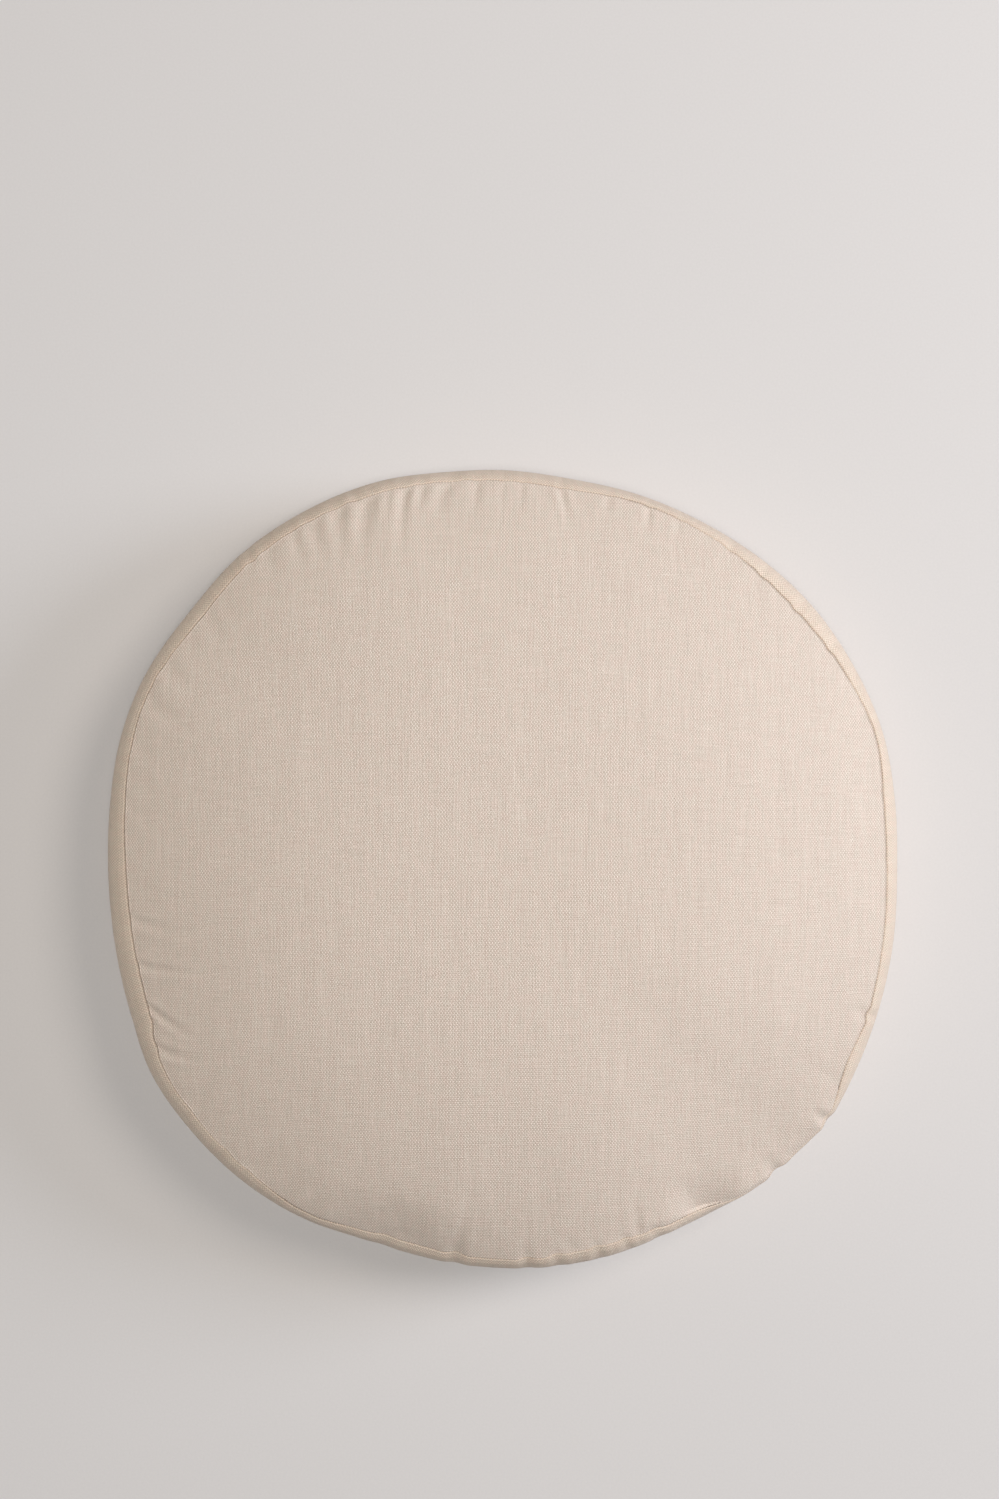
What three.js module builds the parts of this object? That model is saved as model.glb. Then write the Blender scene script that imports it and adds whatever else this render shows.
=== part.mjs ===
// Round box-edged seat cushion in plain linen, filled, lying on its back.
// Millimetres, +Z up. The origin is under the middle of the cushion, on the surface that it rests on.
// Bearings are degrees, anticlockwise from +X as seen from above.
import * as THREE from 'three';

// Driving dimensions
const CROWN_HEIGHT = 84; // top of the crown
const CROWN_FLATNESS = 2.6; // higher keeps the middle flatter
const BULGE_HEIGHT = 31; // where the side stands out furthest
const BULGE_SHAPE = 3.6; // higher keeps the side upright for longer
const BASE_SEAM_HEIGHT = 10; // bottom seam
const BASE_INSET = 8; // bottom seam, in from the widest part of the side
const BASE_RISE = 1.8; // how sharply the bottom panel turns up to its seam
const REST_RADIUS = 150; // flat face that lies on the surface
const CLOTH = 2; // cloth as built
const GAP = 0.35; // between neighbouring pieces
const ROLL_REACH = 3.6; // how far the top panel swells out where it rolls over its seam
const ROLL_HEIGHT = 7; // from the seam to the widest part of that roll
const FULL_REACH = 24; // how far in from the seam a fuller part of the crown rounds over
const STITCH_HOLD = 4; // how far in from the seam the stitching keeps a fold from sinking
const BAND_HOLD = 3; // how many times faster a fold of the band dies out in the panel

// Sections of the edge: reach of the side, how far the top seam lies inside it, the seam's height,
// how much the top panel rolls out over the seam, from 0 to 1, and how much fuller the crown stands over it
const SECTIONS = [
  { bearing: 0, reach: 195.2, inset: 7.2, seam: 53, roll: 0, full: 0 },
  { bearing: 10, reach: 197.2, inset: 7.7, seam: 53, roll: 0, full: 0 },
  { bearing: 20, reach: 200.2, inset: 5.7, seam: 52, roll: 0, full: 0 },
  { bearing: 30, reach: 201.2, inset: 7.2, seam: 53, roll: 0, full: 0 },
  { bearing: 42, reach: 201.7, inset: 9.2, seam: 54, roll: 0, full: 0 },
  { bearing: 60, reach: 199.2, inset: 5.7, seam: 52, roll: 0.1, full: 0 },
  { bearing: 70, reach: 198.2, inset: 5.2, seam: 52, roll: 0.1, full: 0 },
  { bearing: 80, reach: 197.2, inset: 6.7, seam: 53, roll: 0, full: 0 },
  { bearing: 90, reach: 198.7, inset: 6.7, seam: 53, roll: 0, full: 0 },
  { bearing: 98, reach: 199.7, inset: 6.2, seam: 53, roll: 0, full: 0 },
  { bearing: 108, reach: 202.7, inset: 7.2, seam: 54, roll: 0, full: 0 },
  { bearing: 120, reach: 203.7, inset: 7.2, seam: 54, roll: 0, full: 0 },
  { bearing: 130, reach: 203.7, inset: 7.7, seam: 54, roll: 0, full: 0 },
  { bearing: 140, reach: 201.7, inset: 8.2, seam: 54, roll: 0, full: 0 },
  { bearing: 152, reach: 202.2, inset: 7.2, seam: 54, roll: 0, full: 0 },
  { bearing: 161, reach: 200.7, inset: 8.2, seam: 54, roll: 0, full: 0 },
  { bearing: 170, reach: 197.7, inset: 9.7, seam: 55, roll: 0, full: 0 },
  { bearing: 180, reach: 195.7, inset: 11.2, seam: 56, roll: 0, full: 0 },
  { bearing: 190, reach: 195.7, inset: 11.7, seam: 56, roll: 0, full: 0 },
  { bearing: 201, reach: 197.7, inset: 11.7, seam: 55, roll: 0, full: 0 },
  { bearing: 210, reach: 201.2, inset: 9.2, seam: 54, roll: 0, full: 0 },
  { bearing: 220, reach: 201.2, inset: 8.7, seam: 53, roll: 0, full: 0 },
  { bearing: 230, reach: 200.7, inset: 8.2, seam: 52, roll: 0, full: 0 },
  { bearing: 240, reach: 198.7, inset: 5.2, seam: 49, roll: 0.3, full: 2.5 },
  { bearing: 250, reach: 195.2, inset: 6.7, seam: 48, roll: 0, full: 5.5 },
  { bearing: 260, reach: 195.7, inset: 7.2, seam: 48.5, roll: 0, full: 5.5 },
  { bearing: 270, reach: 196.7, inset: 6.7, seam: 51, roll: 0, full: 1.5 },
  { bearing: 285, reach: 197.7, inset: 8.7, seam: 53, roll: 0, full: 0 },
  { bearing: 296, reach: 197.2, inset: 6.2, seam: 50, roll: 0.3, full: 0 },
  { bearing: 305, reach: 199.7, inset: 2.7, seam: 44, roll: 0.9, full: 0 },
  { bearing: 315, reach: 201.7, inset: 2.2, seam: 42, roll: 1, full: 0 },
  { bearing: 323, reach: 203.2, inset: 3.2, seam: 45, roll: 0.8, full: 0 },
  { bearing: 331, reach: 200.7, inset: 7.7, seam: 51, roll: 0, full: 0 },
  { bearing: 338, reach: 198.7, inset: 6.7, seam: 52, roll: 0, full: 0 },
  { bearing: 348, reach: 196.7, inset: 7.2, seam: 53, roll: 0, full: 0 },
];

// Folds of the top panel at its seam: length in from the seam, depth, half width and lean in degrees
const PANEL_FOLDS = [
  { bearing: 68.3, length: 16, depth: 0.45, half: 0.7, lean: -1.5 },
  { bearing: 74.3, length: 12, depth: 0.4, half: 0.7, lean: -0.5 },
  { bearing: 81.6, length: 24, depth: 0.5, half: 0.7, lean: -3 },
  { bearing: 93.8, length: 22, depth: 0.4, half: 0.8, lean: 1 },
  { bearing: 98.2, length: 24, depth: 0.5, half: 1.2, lean: 3 },
  { bearing: 101.6, length: 20, depth: 0.4, half: 0.8, lean: 2.5 },
  { bearing: 104.2, length: 40, depth: 0.6, half: 1, lean: 4.5 },
  { bearing: 109.9, length: 34, depth: 0.7, half: 1.5, lean: 5 },
  { bearing: 114.4, length: 30, depth: 0.7, half: 1.5, lean: 3 },
  { bearing: 118.2, length: 28, depth: 0.5, half: 1.4, lean: 2 },
  { bearing: 121.6, length: 22, depth: 0.35, half: 0.9, lean: 1.5 },
  { bearing: 126.5, length: 20, depth: 0.35, half: 1.4, lean: 1 },
  { bearing: 148.6, length: 26, depth: 0.4, half: 1.3, lean: 1 },
  { bearing: 154.3, length: 34, depth: 0.5, half: 1.4, lean: 1 },
  { bearing: 194.3, length: 44, depth: 0.4, half: 0.8, lean: 5.5 },
  { bearing: 200.8, length: 24, depth: 0.65, half: 0.9, lean: 8 },
  { bearing: 207, length: 22, depth: 0.6, half: 0.9, lean: 5 },
  { bearing: 217, length: 30, depth: 0.4, half: 1.6, lean: -2 },
  { bearing: 229.5, length: 26, depth: 0.4, half: 1.4, lean: 1 },
  { bearing: 254.5, length: 30, depth: 0.5, half: 3, lean: 0 },
  { bearing: 262.8, length: 38, depth: 0.4, half: 1, lean: 1.5 },
  { bearing: 290.3, length: 28, depth: 0.35, half: 0.8, lean: 2.5 },
  { bearing: 301, length: 26, depth: 2.2, half: 4, lean: 1 },
  { bearing: 312, length: 14, depth: 0.9, half: 1.1, lean: 0.5 },
  { bearing: 322.4, length: 14, depth: 0.8, half: 0.8, lean: 0 },
  { bearing: 338.6, length: 12, depth: 0.4, half: 0.9, lean: 0 },
];

// Folds of the band under its top seam: drop from the seam, depth and half width in degrees
const BAND_FOLDS = [
  { bearing: 34.5, drop: 14, depth: 0.5, half: 0.8 },
  { bearing: 42, drop: 16, depth: 0.5, half: 0.9 },
  { bearing: 49, drop: 14, depth: 0.5, half: 0.9 },
  { bearing: 111.5, drop: 16, depth: 0.5, half: 0.9 },
  { bearing: 128.6, drop: 18, depth: 0.8, half: 0.8 },
  { bearing: 203, drop: 18, depth: 0.6, half: 1.2 },
  { bearing: 252, drop: 18, depth: 0.6, half: 1.6 },
  { bearing: 263, drop: 20, depth: 0.9, half: 1.2 },
  { bearing: 273.5, drop: 18, depth: 0.8, half: 1 },
  { bearing: 278, drop: 18, depth: 0.8, half: 1 },
  { bearing: 284, drop: 16, depth: 0.7, half: 0.9 },
  { bearing: 288.4, drop: 14, depth: 0.6, half: 0.8 },
  { bearing: 293, drop: 20, depth: 0.6, half: 1.2 },
  { bearing: 312.5, drop: 16, depth: 0.7, half: 1.1 },
  { bearing: 322.7, drop: 16, depth: 0.7, half: 1 },
  { bearing: 338.7, drop: 12, depth: 0.6, half: 0.8 },
];

// Steps round and along each piece
const BASE_STEPS = 96; // round the bottom panel
const CORE_STEPS = 48; // round the middle of each panel
const FOLD_SPACING = 0.9; // degrees that a fold's columns keep from others
const PLAIN_SPACING = 2.5; // degrees that a plain column keeps from others
const LEAN_SPREAD = 8; // degrees over which the columns take on a fold's lean
const SHOULDER = 1.75; // a fold's raised shoulders, in half widths from its middle
const RIM_DISTANCES = [0, 2.5, 6, 11, 18, 28, 42]; // in from the top seam
const CORE_FRACTIONS = [0.66, 0.48, 0.3, 0.14]; // of the way from the middle to the seam
const SIDE_LEVELS = [0.12, 0.34, 0.6, 0.82]; // up the side, between its two edges

const LINEN = { color: 0xd9cbbb, roughness: 0.92, metalness: 0 };

const degrees = (value) => (value * Math.PI) / 180;
const wrap = (value) => ((((value + 180) % 360) + 360) % 360) - 180;

// A column of the sections at a bearing, on a smooth closed curve through its rows
function section(column, bearing) {
  const count = SECTIONS.length;
  let row = count - 1;
  for (let i = 0; i < count - 1; i += 1) {
    const ahead = wrap(bearing - SECTIONS[i].bearing);
    if (ahead >= 0 && wrap(bearing - SECTIONS[i + 1].bearing) < 0) row = i;
  }
  const at = (i) => SECTIONS[(row + i + count) % count];
  const span = (from, to) => (at(to).bearing - at(from).bearing + 360) % 360;
  const value = (i) => at(i)[column];
  const slope = (i) => (value(i + 1) - value(i - 1)) / span(i - 1, i + 1);
  const width = span(0, 1);
  const t = ((bearing - at(0).bearing + 360) % 360) / width;
  return (
    value(0) * (2 * t ** 3 - 3 * t ** 2 + 1) +
    value(1) * (3 * t ** 2 - 2 * t ** 3) +
    slope(0) * width * (t ** 3 - 2 * t ** 2 + t) +
    slope(1) * width * (t ** 3 - t ** 2)
  );
}

// A fold across its width: 1 in the valley, with a low raised shoulder on each side
function valley(offset, half) {
  const s = offset / half;
  return (1 - s * s) * Math.exp((-s * s) / 2);
}

// A fold along its length: full at the seam and gone at its end
function fade(along) {
  return along >= 1 ? 0 : (1 - along) ** 2 * (1 + 2 * along);
}

function panelFold(bearing, distance) {
  return PANEL_FOLDS.reduce((sum, fold) => {
    const along = distance / fold.length;
    const offset = wrap(bearing - fold.bearing - fold.lean * Math.min(along, 1));
    return sum + fold.depth * valley(offset, fold.half) * fade(along);
  }, 0);
}

function bandFold(bearing, below) {
  return BAND_FOLDS.reduce((sum, fold) => {
    const offset = wrap(bearing - fold.bearing);
    return sum + fold.depth * valley(offset, fold.half) * fade(below / fold.drop);
  }, 0);
}

// Heights and radii of the edge at a bearing
const bandTop = (bearing) => section('seam', bearing) - CLOTH - GAP;
const BAND_FOOT = BASE_SEAM_HEIGHT + CLOTH + GAP;
const seamRadius = (bearing) => section('reach', bearing) - section('inset', bearing);
const baseRadius = (bearing) => section('reach', bearing) - BASE_INSET;

// Outer radius of the band at a height, bulging out between its two edges
function sideRadius(bearing, height) {
  const upper = height >= BULGE_HEIGHT;
  const end = upper ? bandTop(bearing) : BAND_FOOT;
  const inset = upper ? section('inset', bearing) : BASE_INSET;
  const away = Math.min((height - BULGE_HEIGHT) / (end - BULGE_HEIGHT), 1);
  const below = Math.max(bandTop(bearing) - height, 0);
  return section('reach', bearing) - inset * away ** BULGE_SHAPE - bandFold(bearing, below);
}

// Height of the bottom panel's lower face
function baseHeight(bearing, radius) {
  const away = Math.max((radius - REST_RADIUS) / (baseRadius(bearing) - REST_RADIUS), 0);
  return BASE_SEAM_HEIGHT * away ** BASE_RISE;
}

// Radius and height of the top panel at a distance in from its seam
function crown(bearing, distance) {
  const rim = seamRadius(bearing);
  const seam = section('seam', bearing);
  const share = (rim - distance) / rim;
  const lift = 1 - share ** CROWN_FLATNESS;
  const rolled = (distance / ROLL_HEIGHT) * Math.exp(1 - distance / ROLL_HEIGHT);
  const swell = section('roll', bearing) * ROLL_REACH * rolled;
  const full = section('full', bearing);
  const rounded = 1 - Math.max(1 - distance / FULL_REACH, 0) ** 1.6;
  const cut = panelFold(bearing, distance);
  const dip = cut * Math.min(distance / STITCH_HOLD, 1);
  return {
    radius: rim - distance + swell - cut / 2 - bandFold(bearing, distance * BAND_HOLD),
    height: seam + full * rounded + (CROWN_HEIGHT - seam - full) * lift - dip,
  };
}

// Bearings of the columns round the edge: one in each fold, one on each shoulder, and plain ones between
function edgeBearings() {
  const kept = [];
  const add = (bearing, spacing) => {
    const clear = kept.every((other) => Math.abs(wrap(bearing - other)) >= spacing);
    if (clear) kept.push((bearing + 360) % 360);
  };
  const folds = [...PANEL_FOLDS, ...BAND_FOLDS];
  folds.forEach((fold) => add(fold.bearing, FOLD_SPACING));
  folds.forEach((fold) => add(fold.bearing - SHOULDER * fold.half, FOLD_SPACING));
  folds.forEach((fold) => add(fold.bearing + SHOULDER * fold.half, FOLD_SPACING));
  for (let bearing = 0; bearing < 360; bearing += PLAIN_SPACING) add(bearing, PLAIN_SPACING);
  return kept.sort((a, b) => a - b);
}

const evenBearings = (steps) => Array.from({ length: steps }, (_, i) => (i * 360) / steps);
const EDGE = edgeBearings();
const BASE = evenBearings(BASE_STEPS);
const CORE = evenBearings(CORE_STEPS);

// One ring of points: where(bearing) gives its radius, height and, on a fold, its lean in degrees
function ring(bearings, where) {
  return bearings.map((bearing) => {
    const { radius, height, lean = 0 } = where(bearing);
    const turn = degrees(bearing + lean);
    return { bearing, point: [radius * Math.cos(turn), radius * Math.sin(turn), height] };
  });
}

// Closed solid over rings that follow its section anticlockwise, as seen with the outside on the right.
// A solid with poles starts and ends on the axis, and one without joins its last ring to its first.
function solid(name, rings, poles) {
  const positions = rings.flat().flatMap((item) => item.point);
  const starts = rings.map((_, i) => rings.slice(0, i).reduce((sum, item) => sum + item.length, 0));
  const faces = [];
  const between = (low, high) => {
    const [a, b] = [rings[low], rings[high]];
    const bearingOf = (items, i) => (i < items.length ? items[i].bearing : items[0].bearing + 360);
    const falling = a[0].point[2] > b[0].point[2];
    const lowerFirst = (i, j) => {
      const ahead = bearingOf(b, j + 1) - bearingOf(a, i + 1);
      return ahead > 0 || (ahead === 0 && !falling);
    };
    let i = 0;
    let j = 0;
    while (i < a.length || j < b.length) {
      const lower = starts[low] + (i % a.length);
      const upper = starts[high] + (j % b.length);
      if (j >= b.length || (i < a.length && lowerFirst(i, j))) {
        i += 1;
        faces.push(lower, starts[low] + (i % a.length), upper);
      } else {
        j += 1;
        faces.push(lower, starts[high] + (j % b.length), upper);
      }
    }
  };
  for (let i = 0; i + 1 < rings.length; i += 1) between(i, i + 1);
  if (poles) {
    poles.forEach((height, end) => {
      const pole = positions.length / 3;
      positions.push(0, 0, height);
      const items = end ? rings.length - 1 : 0;
      const size = rings[items].length;
      for (let i = 0; i < size; i += 1) {
        const here = starts[items] + i;
        const next = starts[items] + ((i + 1) % size);
        faces.push(...(end ? [here, next, pole] : [next, here, pole]));
      }
    });
  } else {
    between(rings.length - 1, 0);
  }
  const geometry = new THREE.BufferGeometry();
  geometry.setAttribute('position', new THREE.Float32BufferAttribute(positions, 3));
  geometry.setIndex(faces);
  geometry.computeVertexNormals();
  const mesh = new THREE.Mesh(geometry, new THREE.MeshStandardMaterial(LINEN));
  mesh.name = name;
  return mesh;
}

// Height at a share of the way up the band
const level = (bearing, share) => BAND_FOOT + share * (bandTop(bearing) - BAND_FOOT);

// The top panel drawn over its filling: crown, rim, drawn-in side behind the band, and underside
function topPanel() {
  const behind = CLOTH + GAP;
  const under = (bearing, radius) => ({ radius, height: baseHeight(bearing, radius) + CLOTH + GAP });
  const side = (bearing, height) => ({ radius: sideRadius(bearing, height) - behind, height });
  const lip = (bearing, radius) => ({ radius, height: section('seam', bearing) - CLOTH });
  const leanAt = (bearing, distance) => {
    let [weights, turns] = [0.1, 0];
    PANEL_FOLDS.forEach((fold) => {
      const near = Math.exp(-((wrap(bearing - fold.bearing) / LEAN_SPREAD) ** 2));
      weights += near;
      turns += near * fold.lean * Math.min(distance / fold.length, 1);
    });
    return turns / weights;
  };
  const face = (distance) => (bearing) => {
    const lean = leanAt(bearing, distance);
    return { ...crown(bearing + lean, distance), lean };
  };
  const rings = [
    ring(CORE, (b) => under(b, REST_RADIUS / 2)),
    ring(BASE, (b) => under(b, REST_RADIUS)),
    ring(BASE, (b) => under(b, (REST_RADIUS + baseRadius(b)) / 2)),
    ring(EDGE, (b) => under(b, baseRadius(b) - behind)),
    ...[0, ...SIDE_LEVELS].map((share) => ring(EDGE, (b) => side(b, level(b, share)))),
    ring(EDGE, (b) => lip(b, sideRadius(b, bandTop(b)) - behind - GAP)),
    ring(EDGE, (b) => lip(b, crown(b, 0).radius)),
    ...RIM_DISTANCES.map((distance) => ring(EDGE, face(distance))),
    ...CORE_FRACTIONS.map((share) => ring(CORE, (b) => crown(b, seamRadius(b) * (1 - share)))),
  ];
  return solid('top_panel', rings, [CLOTH + GAP, CROWN_HEIGHT]);
}

// The band: its outer face bottom to top, then its inner face top to bottom
function boxBand() {
  const shares = [0, ...SIDE_LEVELS, 1];
  const face = (inward) => (share) =>
    ring(EDGE, (b) => ({ radius: sideRadius(b, level(b, share)) - inward, height: level(b, share) }));
  return solid('box_band', [...shares.map(face(0)), ...[...shares].reverse().map(face(CLOTH))], null);
}

// The bottom panel: flat where it rests, turned up to its seam
function bottomPanel() {
  const middle = (b) => (REST_RADIUS + baseRadius(b)) / 2;
  const face = (steps, where, raised) =>
    ring(steps, (b) => ({ radius: where(b), height: baseHeight(b, where(b)) + raised }));
  const rings = [
    face(CORE, () => REST_RADIUS, 0),
    face(BASE, middle, 0),
    face(BASE, baseRadius, 0),
    face(BASE, baseRadius, CLOTH),
    face(BASE, middle, CLOTH),
    face(CORE, () => REST_RADIUS, CLOTH),
  ];
  return solid('bottom_panel', rings, [0, CLOTH]);
}

const cushion = new THREE.Group();
cushion.name = 'seat_cushion';
cushion.add(topPanel(), boxBand(), bottomPanel());

// The uneven outline is centred on the origin
const middle = new THREE.Box3().setFromObject(cushion, true).getCenter(new THREE.Vector3());
cushion.children.forEach((mesh) => mesh.geometry.translate(-middle.x, -middle.y, 0));

export default cushion;
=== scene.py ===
"""Round box-edged seat cushion in natural linen, lying on its back, seen from straight above.

The cushion is three cut pieces: a top panel drawn over its filling, a band round the side, and a
bottom panel. Sizes of the cushion are in millimetres and become metres where a mesh is made.
Bearings are degrees, anticlockwise from +X as seen from above.
"""

import math

import bpy
import numpy as np
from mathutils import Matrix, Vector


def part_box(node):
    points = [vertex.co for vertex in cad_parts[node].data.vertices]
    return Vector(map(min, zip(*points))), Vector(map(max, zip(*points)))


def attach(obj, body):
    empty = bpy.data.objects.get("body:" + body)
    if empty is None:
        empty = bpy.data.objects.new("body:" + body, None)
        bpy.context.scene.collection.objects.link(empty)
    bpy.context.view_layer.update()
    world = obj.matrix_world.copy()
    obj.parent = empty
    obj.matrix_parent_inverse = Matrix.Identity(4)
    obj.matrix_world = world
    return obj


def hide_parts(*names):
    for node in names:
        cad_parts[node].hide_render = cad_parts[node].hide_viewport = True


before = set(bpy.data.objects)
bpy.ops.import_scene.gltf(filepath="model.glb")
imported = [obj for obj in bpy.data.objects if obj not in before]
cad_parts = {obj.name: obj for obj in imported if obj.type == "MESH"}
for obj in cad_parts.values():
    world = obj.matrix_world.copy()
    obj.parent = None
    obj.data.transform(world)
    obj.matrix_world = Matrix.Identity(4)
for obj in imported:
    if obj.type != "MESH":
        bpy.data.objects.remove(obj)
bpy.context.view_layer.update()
bpy.ops.object.select_all(action="DESELECT")

MM = 0.001

# Driving dimensions of the cushion, as its solids have them
CROWN_HEIGHT = 84
CROWN_FLATNESS = 2.6
BULGE_HEIGHT = 31
BULGE_SHAPE = 3.6
BASE_SEAM_HEIGHT = 10
BASE_INSET = 8
BASE_RISE = 1.8
REST_RADIUS = 150
ROLL_REACH = 3.6
ROLL_HEIGHT = 7
FULL_REACH = 24
FULL_ROUNDING = 1.6
STITCH_HOLD = 4
BAND_HOLD = 3

# Finer sizes of the cloth
CLOTH = 1.2  # thickness
CLEAR = 0.35  # between neighbouring pieces
LIP = 0.75  # radius at which a cloth turns into its seam
LIP_ANGLES = (0, 25, 50, 70, 90)  # places on that turn, in degrees
SEAM_DEPTH = 1.1  # how far it then goes in
SEAM_FALL = 36  # slope of the cushion's skin at the top seam, in degrees
FOOT_FALL = 142  # and at the bottom seam
FOOT_GAP = 0.3  # how far the bottom seam gapes
PULL_REACH = 12  # how far down the band follows the panel's folds
RIDGE = 0.3  # the seam allowance, raised under the band's cloth
RIDGE_DROP = 2.4  # from the seam to the top of that ridge
RIDGE_WIDTH = 0.9
BEHIND_SEAM = 3.2  # from each seam to where the faces behind the band stop
PANEL_HEM = (1.5, 1.9)  # the top panel's hidden edge, in from the seam and below it
BAND_HEM = (0.5, 2.1)  # the band's hidden top edge, in from the seam and below it
FOOT_HEM = (0.1, 2.3)  # its hidden foot, in from the bottom seam and above it
UNDER_CORNER = 2.6  # the filled panel's lower corner, in from the bottom seam
BASE_ROOM = 1.5  # what the bottom panel's rings keep from its edge
BAND_CUT_RADIUS = 200  # radius at which the band's flat cut has its real length

# Rings and columns
STEPS = 1440  # columns round a piece where it is finest
FINE, MEDIUM, COARSE = 2, 4, 8  # plainer rings keep every second, fourth or eighth column
SIDE_RINGS = 8  # up each face behind the band
MIDDLE = 192  # where all columns meet, in from the seam
CROWN_START = 0.9  # the crown's first ring, in from the seam
CROWN_STEP, CROWN_GROWTH = 0.3, 1.07  # its first step, and how much longer each next one is
CROWN_ZONES = ((45, 1.7, 1), (110, 2.6, FINE), (188, 3.6, MEDIUM))  # how far in, largest step, columns
BAND_HALF = 21  # half the height over which the band's steps are laid out
BAND_STEP, BAND_GROWTH, BAND_LARGEST = 0.3, 1.2, 1.9  # its first step, their growth and the largest
UNDERSIDE_RADII = (40, 80, 120, REST_RADIUS, 170)

# Rings of the bottom panel: radius and columns
BASE_RINGS = (
    (60, COARSE),
    (105, COARSE),
    (128, COARSE),
    (REST_RADIUS, MEDIUM),
    (159, MEDIUM),
    (168, MEDIUM),
    (176, MEDIUM),
    (182, FINE),
    (186, FINE),
)

# The filling pressed into the top panel
PRESSED_SKIP = 8  # bearings between the pressed columns
PRESSED_STEP = 4  # between the pressed rings
PRESSED_REACH = 176  # how far in they go
PRESSURE = 4
PRESSED_FRAMES = 20
OVERSIZE = 0.0012  # how much larger the panel is cut than the space that it covers
SWELL = 0.8  # how far the filling then lifts it, past its edge
SWELL_FALL = 16  # how fast that lift grows in from the seam
SWELL_CAP = 2  # the furthest that any point is lifted
SWELL_KEPT = 0.5  # how much of the lift's unevenness stays when the cloth has relaxed
SWELL_ENDS = 110  # how far in it has died out

# Sections of the edge
SECTION_COLUMNS = ("bearing", "reach", "inset", "seam", "roll", "full")
SECTIONS = (
    (0, 195.2, 7.2, 53, 0, 0),
    (10, 197.2, 7.7, 53, 0, 0),
    (20, 200.2, 5.7, 52, 0, 0),
    (30, 201.2, 7.2, 53, 0, 0),
    (42, 201.7, 9.2, 54, 0, 0),
    (60, 199.2, 5.7, 52, 0.1, 0),
    (70, 198.2, 5.2, 52, 0.1, 0),
    (80, 197.2, 6.7, 53, 0, 0),
    (90, 198.7, 6.7, 53, 0, 0),
    (98, 199.7, 6.2, 53, 0, 0),
    (108, 202.7, 7.2, 54, 0, 0),
    (120, 203.7, 7.2, 54, 0, 0),
    (130, 203.7, 7.7, 54, 0, 0),
    (140, 201.7, 8.2, 54, 0, 0),
    (152, 202.2, 7.2, 54, 0, 0),
    (161, 200.7, 8.2, 54, 0, 0),
    (170, 197.7, 9.7, 55, 0, 0),
    (180, 195.7, 11.2, 56, 0, 0),
    (190, 195.7, 11.7, 56, 0, 0),
    (201, 197.7, 11.7, 55, 0, 0),
    (210, 201.2, 9.2, 54, 0, 0),
    (220, 201.2, 8.7, 53, 0, 0),
    (230, 200.7, 8.2, 52, 0, 0),
    (240, 198.7, 5.2, 49, 0.3, 2.5),
    (250, 195.2, 6.7, 48, 0, 5.5),
    (260, 195.7, 7.2, 48.5, 0, 5.5),
    (270, 196.7, 6.7, 51, 0, 1.5),
    (285, 197.7, 8.7, 53, 0, 0),
    (296, 197.2, 6.2, 50, 0.3, 0),
    (305, 199.7, 2.7, 44, 0.9, 0),
    (315, 201.7, 2.2, 42, 1, 0),
    (323, 203.2, 3.2, 45, 0.8, 0),
    (331, 200.7, 7.7, 51, 0, 0),
    (338, 198.7, 6.7, 52, 0, 0),
    (348, 196.7, 7.2, 53, 0, 0),
)

# How far the top seam gapes: bearing and gap
SEAM_GAPS = (
    (0, 0.35),
    (20, 0.4),
    (27, 0.15),
    (31, 0.45),
    (38, 0.45),
    (50, 0.4),
    (55, 0.1),
    (64, 0.15),
    (69.5, 0.4),
    (74, 0.2),
    (90, 0.2),
    (102, 0.25),
    (113, 0.35),
    (126, 0.45),
    (140, 0.6),
    (180, 0.9),
    (200, 0.95),
    (206, 1),
    (213, 0.3),
    (229, 0.12),
    (236, 0.6),
    (242, 0.3),
    (250, 0.12),
    (277, 0.12),
    (290, 0.2),
    (300, 0.1),
    (324, 0.25),
    (329, 0.4),
    (334, 0.25),
    (338.5, 0.45),
    (346, 0.25),
)

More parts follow.
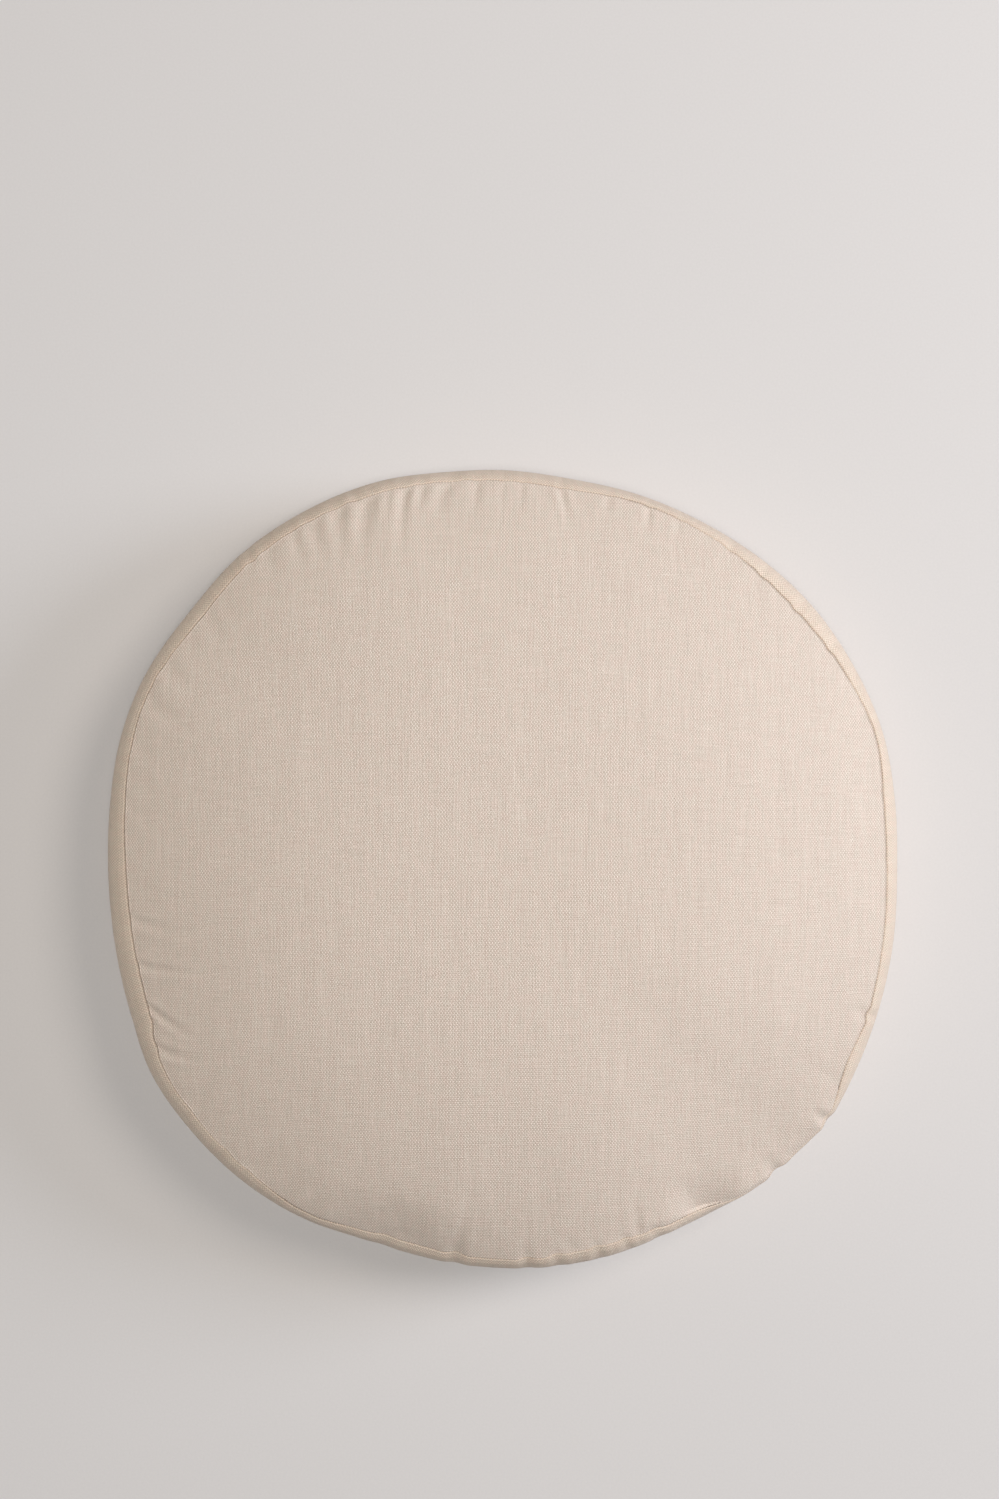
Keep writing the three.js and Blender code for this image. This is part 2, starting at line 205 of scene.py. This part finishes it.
# Folds of the top panel: bearing at the seam, length, depth, half width and lean in degrees
PANEL_FOLDS = (
    (2, 18, 0.2, 0.9, 0),
    (12, 16, 0.2, 0.8, 0),
    (22.8, 22, 0.3, 0.8, 1),
    (63.5, 14, 0.3, 0.8, -1),
    (68.3, 16, 0.45, 0.7, -1.5),
    (74.3, 12, 0.4, 0.7, -0.5),
    (81.6, 24, 0.5, 0.7, -3),
    (87.2, 18, 0.3, 0.6, 0),
    (90, 22, 0.25, 0.6, 0.5),
    (93.8, 22, 0.4, 0.8, 1),
    (98.2, 24, 0.5, 1.2, 3),
    (101.6, 20, 0.4, 0.8, 2.5),
    (104.2, 40, 0.6, 1, 4.5),
    (106.6, 18, 0.3, 0.7, 2),
    (109.9, 34, 0.7, 1.5, 5),
    (114.4, 30, 0.7, 1.5, 3),
    (118.2, 28, 0.5, 1.4, 2),
    (121.6, 22, 0.35, 0.9, 1.5),
    (126.5, 20, 0.35, 1.4, 1),
    (139, 18, 0.25, 1.2, 1),
    (148.6, 26, 0.4, 1.3, 1),
    (154.3, 34, 0.5, 1.4, 1),
    (161, 24, 0.25, 1.3, 2),
    (170, 20, 0.2, 1.2, 2),
    (187, 34, 0.3, 0.9, 4.5),
    (194.3, 44, 0.4, 0.8, 5.5),
    (200.8, 24, 0.65, 0.9, 8),
    (207, 22, 0.6, 0.9, 5),
    (217, 30, 0.4, 1.6, -2),
    (229.5, 26, 0.4, 1.4, 1),
    (240, 20, 0.3, 1.5, 0),
    (254.5, 30, 0.5, 3, 0),
    (262.8, 38, 0.4, 1, 1.5),
    (273.5, 16, 0.2, 1, 0),
    (280, 14, 0.3, 1.2, 0),
    (290.3, 28, 0.35, 0.8, 2.5),
    (301, 26, 2.2, 4, 1),
    (312, 14, 0.9, 1.1, 0.5),
    (322.4, 14, 0.8, 0.8, 0),
    (338.6, 12, 0.4, 0.9, 0),
)

# Folds of the band under its top seam: bearing, drop, depth and half width in degrees
BAND_FOLDS = (
    (34.5, 14, 0.5, 0.8),
    (42, 16, 0.5, 0.9),
    (49, 14, 0.5, 0.9),
    (55, 14, 0.45, 1),
    (97, 12, 0.3, 1),
    (111.5, 16, 0.5, 0.9),
    (128.6, 18, 0.8, 0.8),
    (152, 14, 0.4, 1.2),
    (203, 18, 0.6, 1.2),
    (225, 16, 0.4, 1.3),
    (252, 18, 0.6, 1.6),
    (263, 20, 0.9, 1.2),
    (273.5, 18, 0.8, 1),
    (278, 18, 0.8, 1),
    (284, 16, 0.7, 0.9),
    (288.4, 14, 0.6, 0.8),
    (293, 20, 0.6, 1.2),
    (312.5, 16, 0.7, 1.1),
    (322.7, 16, 0.7, 1),
    (338.7, 12, 0.6, 0.8),
)


def wrap(angle):
    """An angle in degrees, from -180 to 180."""
    return (np.asarray(angle) + 180) % 360 - 180


def curve(table, column, bearing):
    """A column of a table at some bearings, on a smooth closed curve through its rows."""
    rows = np.array(table, dtype=float)
    value = rows[:, column]
    places = rows[:, 0]
    before, after = np.roll(np.arange(len(rows)), 1), np.roll(np.arange(len(rows)), -1)
    slope = (value[after] - value[before]) / ((places[after] - places[before]) % 360)
    bearing = np.asarray(bearing) % 360
    row = (np.searchsorted(places, bearing, side="right") - 1) % len(rows)
    width = (places[after[row]] - places[row]) % 360
    t = ((bearing - places[row]) % 360) / width
    return (
        value[row] * (2 * t**3 - 3 * t**2 + 1)
        + value[after[row]] * (3 * t**2 - 2 * t**3)
        + slope[row] * width * (t**3 - 2 * t**2 + t)
        + slope[after[row]] * width * (t**3 - t**2)
    )


def section(column, bearing):
    """A named column of the sections at some bearings."""
    return curve(SECTIONS, SECTION_COLUMNS.index(column), bearing)


def valley(offset, half):
    """A fold across its width: 1 in the valley, with a low raised shoulder on each side."""
    s = (offset / half) ** 2
    return (1 - s) * np.exp(-s / 2)


def fade(along):
    """A fold along its length: full at the seam and gone at its end."""
    along = np.minimum(along, 1)
    return (1 - along) ** 2 * (1 + 2 * along)


def panel_fold(bearing, distance):
    """How deep the top panel's folds are at a distance in from its seam."""
    total = np.zeros(np.broadcast(bearing, distance).shape)
    for place, length, depth, half, lean in PANEL_FOLDS:
        along = distance / length
        offset = wrap(bearing - place - lean * np.minimum(along, 1))
        total += depth * valley(offset, half) * fade(along)
    return total


def band_fold(bearing, below):
    """How deep the band's folds are at a distance below its top seam."""
    total = np.zeros(np.broadcast(bearing, below).shape)
    for place, drop, depth, half in BAND_FOLDS:
        total += depth * valley(wrap(bearing - place), half) * fade(below / drop)
    return total


def seam_radius(bearing):
    """Radius of the top seam."""
    return section("reach", bearing) - section("inset", bearing)


def base_radius(bearing):
    """Radius of the bottom seam."""
    return section("reach", bearing) - BASE_INSET


def side_radius(bearing, height, foot, top):
    """Outer radius of the band at a height, bulging out between its foot and its top edge."""
    upper = height >= BULGE_HEIGHT
    end = np.where(upper, top, foot)
    inset = np.where(upper, section("inset", bearing), BASE_INSET)
    away = np.clip((height - BULGE_HEIGHT) / (end - BULGE_HEIGHT), 0, 1)
    below = np.maximum(top - height, 0)
    pull = panel_fold(bearing, 0) / 2 * fade(below / PULL_REACH)
    return section("reach", bearing) - inset * away**BULGE_SHAPE - band_fold(bearing, below) - pull


def base_height(bearing, radius):
    """Height of the bottom panel's lower face."""
    away = np.maximum((radius - REST_RADIUS) / (base_radius(bearing) - REST_RADIUS), 0)
    return BASE_SEAM_HEIGHT * away**BASE_RISE


def plain_crown(bearing, distance):
    """Radius and height of the top panel without its folds, at a distance in from its seam."""
    rim = seam_radius(bearing)
    seam = section("seam", bearing)
    share = np.clip((rim - distance) / rim, 0, 1)
    lift = 1 - share**CROWN_FLATNESS
    rolled = (distance / ROLL_HEIGHT) * np.exp(1 - distance / ROLL_HEIGHT)
    swell = section("roll", bearing) * ROLL_REACH * rolled
    full = section("full", bearing)
    rounded = 1 - np.clip(1 - distance / FULL_REACH, 0, 1) ** FULL_ROUNDING
    height = seam + full * rounded + (CROWN_HEIGHT - seam - full) * lift
    return rim - distance + swell, height


def crown(bearing, distance):
    """Radius and height of the top panel at a distance in from its seam."""
    radius, height = plain_crown(bearing, distance)
    cut = panel_fold(bearing, distance)
    radius = radius - cut / 2 - band_fold(bearing, distance * BAND_HOLD)
    return radius, height - cut * np.minimum(distance / STITCH_HOLD, 1)


BEARINGS = np.arange(STEPS) * 360 / STEPS


def ring(radius, height, skip=1):
    """A ring of a skin: radius and height at every bearing. It keeps every skip-th column."""
    return np.broadcast_to(radius, STEPS), np.broadcast_to(height, STEPS), skip


def tip(height):
    """The end of a skin on the axis, a ring with a single point."""
    return ring(0, height, STEPS)


def growing(first, last, growth, largest):
    """Distances from 0 that step out from first, each step longer, up to the largest step."""
    places, step = [0.0], first
    while places[-1] + step < last:
        places.append(places[-1] + step)
        step = min(step * growth, largest)
    return places


def turned_in(radius, height, fall, side, gap, skip=1):
    """Rings where a cloth rolls over its edge into a seam, from its face inward.

    The seam lies at the radius and height, where the skin falls at an angle. Side is -1 for the cloth
    before the seam and 1 for the one after it.
    """
    fall = math.radians(fall)
    places = [(LIP - LIP * math.sin(a), LIP - LIP * math.cos(a)) for a in np.radians(LIP_ANGLES)]
    places.append((0, LIP + SEAM_DEPTH))
    rings = []
    for along, deep in places:
        along = side * (along + gap / 2)
        out = along * math.cos(fall) - deep * math.sin(fall)
        up = -along * math.sin(fall) - deep * math.cos(fall)
        rings.append(ring(radius + out, height + up, skip))
    return rings


def between_rings(low, high):
    """Faces between two rings, by their skips: each corner is a ring, 0 or 1, and a column."""
    if low == high:
        c = np.arange(0, STEPS, low)
        return [[(0, c), (0, c + low), (1, c + low), (1, c)]]
    if high == STEPS:
        c = np.arange(0, STEPS, low)
        return [[(0, c), (0, c + low), (1, 0 * c)]]
    if low == STEPS:
        c = np.arange(0, STEPS, high)
        return [[(0, 0 * c), (1, c + high), (1, c)]]
    c = np.arange(0, STEPS, max(low, high))
    mid, end = c + min(low, high), c + max(low, high)
    if high > low:
        return [[(0, c), (0, mid), (1, c)], [(0, mid), (1, end), (1, c)], [(0, mid), (0, end), (1, end)]]
    return [[(0, c), (1, mid), (1, c)], [(0, c), (0, end), (1, mid)], [(0, end), (1, end), (1, mid)]]


def skin(name, rings, flats, closed=False):
    """A mesh over rings, each with its place (across, along) on the flat cut, in millimetres."""
    turn = np.radians(BEARINGS)
    points, starts = [], [0]
    for radius, height, skip in rings:
        points.append(np.stack([radius * np.cos(turn), radius * np.sin(turn), height], -1)[::skip])
        starts.append(starts[-1] + len(points[-1]))
    faces, uvs = [], []
    pairs = [(i, i + 1) for i in range(len(rings) - 1)]
    if closed:
        pairs.append((len(rings) - 1, 0))
    for pair in pairs:
        for corners in between_rings(rings[pair[0]][2], rings[pair[1]][2]):
            face, uv = [], []
            for which, column in corners:
                number = pair[which]
                face.append(starts[number] + (column % STEPS) // rings[number][2])
                uv.append(flats[number][column])
            faces += np.stack(face, -1).tolist()
            uvs.append(np.stack(uv, 1).reshape(-1, 2))
    mesh = bpy.data.meshes.new(name)
    mesh.from_pydata((np.concatenate(points) * MM).tolist(), [], faces)
    layer = mesh.uv_layers.new(name="cut")
    layer.data.foreach_set("uv", (np.concatenate(uvs) * MM).ravel())
    piece = bpy.data.objects.new(name, mesh)
    bpy.context.collection.objects.link(piece)
    mesh.shade_smooth()
    return piece


def laid_flat(rings):
    """Where a round panel's rings lie on its flat cut.

    Each point keeps its bearing, and its distance from the middle is measured along the cloth.
    """
    turn = np.radians(np.append(BEARINGS, 360.0))
    flats, reach = [], np.zeros(STEPS)
    last = rings[-1]
    for radius, height, skip in reversed(rings):
        reach = reach + np.hypot(radius - last[0], height - last[1])
        whole = np.append(reach, reach[0])
        flats.append(np.stack([whole * np.cos(turn), whole * np.sin(turn)], -1))
        last = (radius, height)
    return flats[::-1]


def inward(distance):
    """Distance from the seam at every bearing, stretched so that all columns meet in the middle."""
    return distance + (seam_radius(BEARINGS) - MIDDLE) * (distance / MIDDLE) ** 2


def settled(distance):
    """How much lower the top panel lies before its filling is pressed in."""
    return SWELL * (1 - np.exp(-distance / SWELL_FALL))


def vertex_places(piece):
    """The places of a piece's points, in metres, one row each."""
    places = np.empty(len(piece.data.vertices) * 3)
    piece.data.vertices.foreach_get("co", places)
    return places.reshape(-1, 3)


def pressed_out():
    """How far the filling moves the top panel, out and up, on rings PRESSED_STEP apart.

    Blender's cloth blows up a plain crown that is held at its rim.
    """
    places = np.arange(0, PRESSED_REACH, PRESSED_STEP)
    columns = STEPS // PRESSED_SKIP
    rings = []
    for distance in places:
        radius, height = plain_crown(BEARINGS, inward(distance))
        rings.append(ring(radius, height - settled(distance), PRESSED_SKIP))
    rings.append(tip(CROWN_HEIGHT - SWELL))
    blank = skin("blank", rings, laid_flat(rings))
    rim = blank.vertex_groups.new(name="rim")
    rim.add(list(range(columns)), 1, "REPLACE")
    before = vertex_places(blank)
    cloth = blank.modifiers.new("filling", "CLOTH")
    cloth.settings.use_pressure = True
    cloth.settings.uniform_pressure_force = PRESSURE
    cloth.settings.effector_weights.gravity = 0
    cloth.settings.shrink_min = -OVERSIZE
    cloth.settings.vertex_group_mass = "rim"
    cloth.point_cache.frame_start, cloth.point_cache.frame_end = 1, PRESSED_FRAMES
    for number in range(1, PRESSED_FRAMES + 1):
        bpy.context.scene.frame_set(number)
    bpy.context.view_layer.objects.active = blank
    bpy.ops.object.modifier_apply(modifier="filling")
    lift = (vertex_places(blank) - before)[:-1].reshape(len(places), columns, 3) / MM
    bpy.data.objects.remove(blank)
    bpy.context.scene.frame_set(1)
    turn = np.radians(BEARINGS[::PRESSED_SKIP])
    out = lift[..., 0] * np.cos(turn) + lift[..., 1] * np.sin(turn)
    lift = np.stack([out, lift[..., 2]], -1)
    reach = np.maximum(np.linalg.norm(lift, axis=-1, keepdims=True), 1e-6)
    lift = lift * np.minimum(SWELL_CAP / reach, 1)
    lift[..., 1] -= settled(places)[:, None]
    return lift * SWELL_KEPT * fade(places / SWELL_ENDS)[:, None, None]


def lifted(lift, distance):
    """The lift at a distance in, at every bearing, between its rings and columns."""
    place = min(distance / PRESSED_STEP, len(lift) - 1.001)
    row, part = int(place), place % 1
    here = lift[row] * (1 - part) + lift[row + 1] * part
    known = np.arange(len(here) + 1) * PRESSED_SKIP
    wanted = np.arange(STEPS)
    return [np.interp(wanted, known, np.append(here[:, i], here[0, i])) for i in (0, 1)]


def top_panel():
    """The top panel drawn over its filling: underside, drawn-in side, edge turned in, then the crown."""
    b = BEARINGS
    lift = pressed_out()
    seam = section("seam", b)
    behind = CLOTH + CLEAR
    foot = BASE_SEAM_HEIGHT + BEHIND_SEAM
    top = seam - BEHIND_SEAM
    rings = [tip(behind)]
    for radius in UNDERSIDE_RADII:
        rings.append(ring(radius, base_height(b, radius) + behind, COARSE))
    corner = base_radius(b) - UNDER_CORNER
    rings.append(ring(corner, base_height(b, corner) + behind, MEDIUM))
    for share in np.linspace(0, 1, SIDE_RINGS):
        height = foot + share * (top - foot)
        rings.append(ring(side_radius(b, height, foot, seam) - behind, height, MEDIUM))
    rim, _ = crown(b, 0)
    rings.append(ring(rim - PANEL_HEM[0], seam - PANEL_HEM[1], FINE))
    rings += turned_in(rim, seam, SEAM_FALL, -1, curve(SEAM_GAPS, 1, b))[::-1]
    distance, step = CROWN_START, CROWN_STEP
    for last, largest, skip in CROWN_ZONES:
        while distance < last:
            radius, height = crown(b, inward(distance))
            out, up = lifted(lift, distance)
            rings.append(ring(radius + out, height + up, skip))
            distance += step
            step = min(step * CROWN_GROWTH, largest)
    rings.append(tip(CROWN_HEIGHT))
    return skin("top_panel_linen", rings, laid_flat(rings))


def box_band():
    """The band: its foot turned in, its outer face, its top edge turned in, then its inner face."""
    b = BEARINGS
    foot, top = BASE_SEAM_HEIGHT, section("seam", b)
    rim, _ = crown(b, 0)
    edge = base_radius(b)
    rings = turned_in(edge, foot, FOOT_FALL, -1, FOOT_GAP)[::-1]
    steps = growing(BAND_STEP, BAND_HALF, BAND_GROWTH, BAND_LARGEST)
    shares = np.array(steps) / (2 * BAND_HALF)
    shares = np.concatenate([shares, 1 - shares[::-1]])
    for share in shares:
        height = foot + LIP + share * (top - foot - 2 * LIP)
        radius = side_radius(b, height, foot, top)
        for away in (top - height, height - foot):
            radius = radius + RIDGE * np.exp(-(((away - RIDGE_DROP) / RIDGE_WIDTH) ** 2))
        rings.append(ring(radius, height))
    rings += turned_in(rim, top, SEAM_FALL, 1, curve(SEAM_GAPS, 1, b))
    rings.append(ring(rim - BAND_HEM[0], top - BAND_HEM[1], FINE))
    for share in np.linspace(0, 1, SIDE_RINGS):
        height = top - BEHIND_SEAM - share * (top - foot - 2 * BEHIND_SEAM)
        rings.append(ring(side_radius(b, height, foot, top) - CLOTH, height, MEDIUM))
    rings.append(ring(edge - FOOT_HEM[0], foot + FOOT_HEM[1], FINE))
    turn = np.append(np.radians(b), 2 * math.pi) * BAND_CUT_RADIUS
    flats, reach = [], 0
    last = rings[0]
    for radius, height, skip in rings:
        reach += float(np.mean(np.hypot(radius - last[0], height - last[1])))
        flats.append(np.stack([turn, np.full(STEPS + 1, reach)], -1))
        last = (radius, height)
    return skin("box_band_linen", rings, flats, closed=True)


def bottom_panel():
    """The bottom panel: flat where it rests, turned up to its seam and in at its edge."""
    b = BEARINGS
    edge = base_radius(b)
    places = [(np.minimum(radius, edge - BASE_ROOM), skip) for radius, skip in BASE_RINGS]
    lower = [ring(radius, base_height(b, radius), skip) for radius, skip in places]
    upper = [ring(radius, base_height(b, radius) + CLOTH, skip) for radius, skip in reversed(places)]
    hem = turned_in(edge, BASE_SEAM_HEIGHT, FOOT_FALL, 1, FOOT_GAP)
    rings = [tip(0), *lower, *hem, *upper, tip(CLOTH)]
    return skin("bottom_panel_linen", rings, laid_flat(rings))


def opaque(colour):
    """A colour with its full alpha, or a socket as it is."""
    return colour if isinstance(colour, bpy.types.NodeSocket) else (*colour, 1)


class Nodes:
    """Short calls for the nodes of one material."""

    def __init__(self, name):
        self.material = bpy.data.materials.new(name)
        self.material.use_nodes = True
        self.tree = self.material.node_tree
        self.shader = self.tree.nodes["Principled BSDF"]

    def put(self, socket, value):
        if isinstance(value, bpy.types.NodeSocket):
            self.tree.links.new(value, socket)
        else:
            socket.default_value = value

    def math(self, operation, *values, clamp=False):
        node = self.tree.nodes.new("ShaderNodeMath")
        node.operation = operation
        node.use_clamp = clamp
        for socket, value in zip(node.inputs, values):
            self.put(socket, value)
        return node.outputs[0]

    def stretch(self, vector, scale, offset=(0, 0, 0)):
        node = self.tree.nodes.new("ShaderNodeMapping")
        self.put(node.inputs["Vector"], vector)
        node.inputs["Scale"].default_value = scale
        node.inputs["Location"].default_value = offset
        return node.outputs[0]

    def noise(self, vector, detail):
        node = self.tree.nodes.new("ShaderNodeTexNoise")
        node.inputs["Scale"].default_value = 1
        node.inputs["Detail"].default_value = detail
        self.put(node.inputs["Vector"], vector)
        return node.outputs["Fac"]

    def between(self, value, low, high):
        """0 at low and below, 1 at high and above, smooth between."""
        node = self.tree.nodes.new("ShaderNodeMapRange")
        node.interpolation_type = "SMOOTHSTEP"
        self.put(node.inputs["Value"], value)
        node.inputs["From Min"].default_value = low
        node.inputs["From Max"].default_value = high
        return node.outputs["Result"]

    def mix(self, share, first, second):
        node = self.tree.nodes.new("ShaderNodeMix")
        node.data_type = "RGBA"
        self.put(node.inputs[0], share)
        self.put(node.inputs[6], opaque(first))
        self.put(node.inputs[7], opaque(second))
        return node.outputs[2]


# Linen: yarn spacing of warp and weft, and its colours in linear light
WARP = 0.72 * MM
WEFT = 0.96 * MM
WARP_YARN = (0.82, 0.70, 0.605)
WEFT_YARN = (0.49, 0.39, 0.315)
PALE_YARN = (0.83, 0.735, 0.65)
ROSE_TINT = (0.66, 0.51, 0.445)
GREY_TINT = (0.58, 0.545, 0.465)
TONE_RATE = 48  # how often a yarn's tone changes along it, to the metre


def linen(name, gloss, tone_and_painted_fill):
    """Plain-weave linen on the piece's own flat cut, with uneven yarns and a few slubs."""
    # The tone scales both yarn colours; on the band it is painted bounce light, lighter and warmer than
    # the same cloth on the panels.
    warp_yarn, weft_yarn = (np.multiply(yarn, tone_and_painted_fill) for yarn in (WARP_YARN, WEFT_YARN))
    n = Nodes(name)
    place = n.tree.nodes.new("ShaderNodeUVMap")
    place.uv_map = "cut"
    cloth = place.outputs["UV"]

    # The yarns wander a little, so the weave is never ruled
    wander = n.noise(n.stretch(cloth, (70, 70, 1)), detail=3)
    split = n.tree.nodes.new("ShaderNodeSeparateXYZ")
    n.put(split.inputs[0], cloth)
    shift = n.math("MULTIPLY", n.math("SUBTRACT", wander, 0.5), 3.5)
    warp_turn = n.math("MULTIPLY_ADD", split.outputs[0], math.pi / WARP, shift)
    weft_turn = n.math("MULTIPLY_ADD", split.outputs[1], math.pi / WEFT, shift)
    over = n.math("MULTIPLY", n.math("SINE", warp_turn), n.math("SINE", weft_turn))

    # Each yarn's thickness and tone change slowly along it
    along_warp = (1 / WARP, TONE_RATE, 1)
    along_weft = (TONE_RATE, 1 / WEFT, 1)
    warp_tone = n.noise(n.stretch(cloth, along_warp), detail=1)
    weft_tone = n.noise(n.stretch(cloth, along_weft, (3, 7, 0)), detail=1)
    closeness = n.between(n.noise(n.stretch(cloth, (160, 45, 1), (6, 2, 0)), detail=2), 0.3, 0.62)
    warp_slub = n.between(n.noise(n.stretch(cloth, (0.8 / WARP, 30, 1), (11, 5, 0)), detail=0), 0.8, 0.88)
    weft_slub = n.between(n.noise(n.stretch(cloth, (55, 0.8 / WEFT, 1), (2, 17, 0)), detail=0), 0.78, 0.88)
    streak = n.noise(n.stretch(cloth, (260, 9, 1), (5, 9, 0)), detail=2)
    tint = n.noise(n.stretch(cloth, (420, 160, 1), (9, 1, 0)), detail=2)

    # Warp floats are pale and weft floats darker, the more so where the yarns lie close
    contrast = n.math("MULTIPLY_ADD", closeness, 0.75, 0.3)
    share = n.math("ADD", n.math("MULTIPLY", over, contrast), 0.5)
    share = n.math("ADD", share, n.math("MULTIPLY", n.math("SUBTRACT", warp_tone, 0.5), 0.5))
    share = n.math("ADD", share, n.math("MULTIPLY", n.math("SUBTRACT", weft_tone, 0.5), 0.4))
    share = n.math("ADD", share, n.math("MULTIPLY", n.math("SUBTRACT", streak, 0.5), 0.3), clamp=True)
    colour = n.mix(share, weft_yarn, warp_yarn)
    colour = n.mix(n.math("MULTIPLY", n.between(tint, 0.35, 0.65), 0.22), colour, ROSE_TINT)
    colour = n.mix(n.math("MULTIPLY", n.between(tint, 0.65, 0.35), 0.22), colour, GREY_TINT)
    colour = n.mix(n.math("MULTIPLY", weft_slub, 0.3), colour, PALE_YARN)
    colour = n.mix(n.math("MULTIPLY", warp_slub, 0.25), colour, PALE_YARN)
    n.put(n.shader.inputs["Base Color"], colour)

    # Height of the weave in millimetres
    float_height = n.math("MULTIPLY", n.math("ABSOLUTE", over), 0.14)
    raised = n.math("MULTIPLY", n.math("ADD", over, 1.0), 0.05)
    thick = n.math("MULTIPLY", n.math("ADD", warp_tone, weft_tone), 0.12)
    slubs = n.math("MULTIPLY", n.math("ADD", warp_slub, weft_slub), 0.1)
    height = n.math("ADD", n.math("ADD", float_height, raised), n.math("ADD", thick, slubs))
    bump = n.tree.nodes.new("ShaderNodeBump")
    bump.inputs["Strength"].default_value = 1.0
    bump.inputs["Distance"].default_value = MM
    n.put(bump.inputs["Height"], height)
    n.put(n.shader.inputs["Normal"], bump.outputs["Normal"])
    n.put(n.shader.inputs["Roughness"], n.math("MULTIPLY_ADD", over, -0.05, 0.64))
    n.shader.inputs["Specular IOR Level"].default_value = gloss
    n.shader.inputs["Sheen Weight"].default_value = 0.12
    n.shader.inputs["Sheen Roughness"].default_value = 0.6
    return n.material


def studio_floor():
    """A plain pale floor with a faint grain."""
    bpy.ops.mesh.primitive_plane_add(size=8, location=(0, 0, 0))
    floor = bpy.context.object
    floor.name = "floor"
    n = Nodes("floor_paper")
    coordinates = n.tree.nodes.new("ShaderNodeTexCoord")
    grain = n.noise(n.stretch(coordinates.outputs["Object"], (900, 900, 900)), detail=3)
    colour = n.mix(grain, (0.632, 0.608, 0.596), (0.68, 0.656, 0.644))
    n.put(n.shader.inputs["Base Color"], colour)
    n.shader.inputs["Roughness"].default_value = 0.9
    n.shader.inputs["Specular IOR Level"].default_value = 0.1
    floor.data.materials.append(n.material)


# View and light, in metres
VIEW_CENTRE = (-0.00155, 0.05915)
VIEW_LENGTH = 0.7473  # the long side of the picture, at the height of the bulge
VIEW_HEIGHT = 1.2
FILM = 36  # millimetres, the long side
LIGHT_DISTANCE = 2.5
LIGHT_TARGET = (0, 0, 0.03)
AMBIENT = 0.1

# Soft lights: name, azimuth, elevation, size, power and tint
LIGHTS = (
    ("low_window", 13, 22, 1.0, 37.0, (0.93, 1, 1.12)),
    ("high_window", 32, 54, 1.0, 16.7, (1.09, 1, 0.91)),
    ("overhead", 0, 90, 0.6, 30.7, (1.01, 1, 0.98)),
    ("far_wall", 160, 6, 1.0, 7.0, (1.06, 1, 0.82)),
)


def aim(item, target):
    """Turns a light to face a point."""
    direction = np.array(target) - np.array(item.location)
    item.rotation_euler = (
        math.atan2(math.hypot(direction[0], direction[1]), -direction[2]),
        0,
        math.atan2(direction[1], direction[0]) - math.pi / 2,
    )


def soft_light(name, azimuth, elevation, size, power, tint):
    """A round soft light over the cushion, at an azimuth and elevation in degrees."""
    data = bpy.data.lights.new(name, "AREA")
    data.shape = "DISK"
    data.size = size
    data.energy = power
    data.color = tint
    light = bpy.data.objects.new(name, data)
    a, e = math.radians(azimuth), math.radians(elevation)
    light.location = (
        LIGHT_DISTANCE * math.cos(e) * math.cos(a),
        LIGHT_DISTANCE * math.cos(e) * math.sin(a),
        LIGHT_DISTANCE * math.sin(e),
    )
    aim(light, LIGHT_TARGET)
    bpy.context.collection.objects.link(light)


def camera_and_light():
    """The camera straight above, the soft lights and the dim light all round."""
    data = bpy.data.cameras.new("camera")
    data.sensor_width = FILM
    data.lens = FILM * VIEW_HEIGHT / VIEW_LENGTH
    camera = bpy.data.objects.new("camera", data)
    camera.location = (*VIEW_CENTRE, VIEW_HEIGHT + BULGE_HEIGHT * MM)
    bpy.context.collection.objects.link(camera)
    bpy.context.scene.camera = camera
    for light in LIGHTS:
        soft_light(*light)
    world = bpy.data.worlds.new("studio")
    world.use_nodes = True
    background = world.node_tree.nodes["Background"]
    background.inputs["Color"].default_value = (1, 0.995, 0.99, 1)
    background.inputs["Strength"].default_value = AMBIENT
    bpy.context.scene.world = world
    bpy.context.scene.view_settings.view_transform = "Standard"


def centred(pieces, node):
    """Moves the pieces' meshes so that their outline is centred as the solids are."""
    low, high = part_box(node)
    band = next(piece for piece in pieces if piece.name.startswith("box_band"))
    points = vertex_places(band)
    for axis in (0, 1):
        shift = (low[axis] + high[axis]) / 2 - (points[:, axis].min() + points[:, axis].max()) / 2
        for piece in pieces:
            places = vertex_places(piece)
            places[:, axis] += shift
            piece.data.vertices.foreach_set("co", places.ravel())
            piece.data.update()


camera_and_light()
studio_floor()
top = top_panel()
band = box_band()
base = bottom_panel()
centred([top, band, base], "box_band")
# Each piece with its node, material slot, gloss and tone. The band's tone is painted bounce light: the
# band is the same cloth as the panels, made lighter and warmer to stand for the light its shaded side gets
# from the floor.
for piece, node, slot, gloss, tone_and_painted_fill in (
    (top, "top_panel", "panel_linen", 0.75, (1.01, 1.01, 1.01)),
    # painted bounce light: the band's linen is made lighter and warmer than the panels' same cloth
    (band, "box_band", "band_linen", 0.25, (1.07, 1.045, 0.99)),
    (base, "bottom_panel", "base_linen", 0.25, (1, 1, 1)),
):
    piece.data.materials.append(linen(slot, gloss, tone_and_painted_fill))
    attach(piece, "root")
    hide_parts(node)
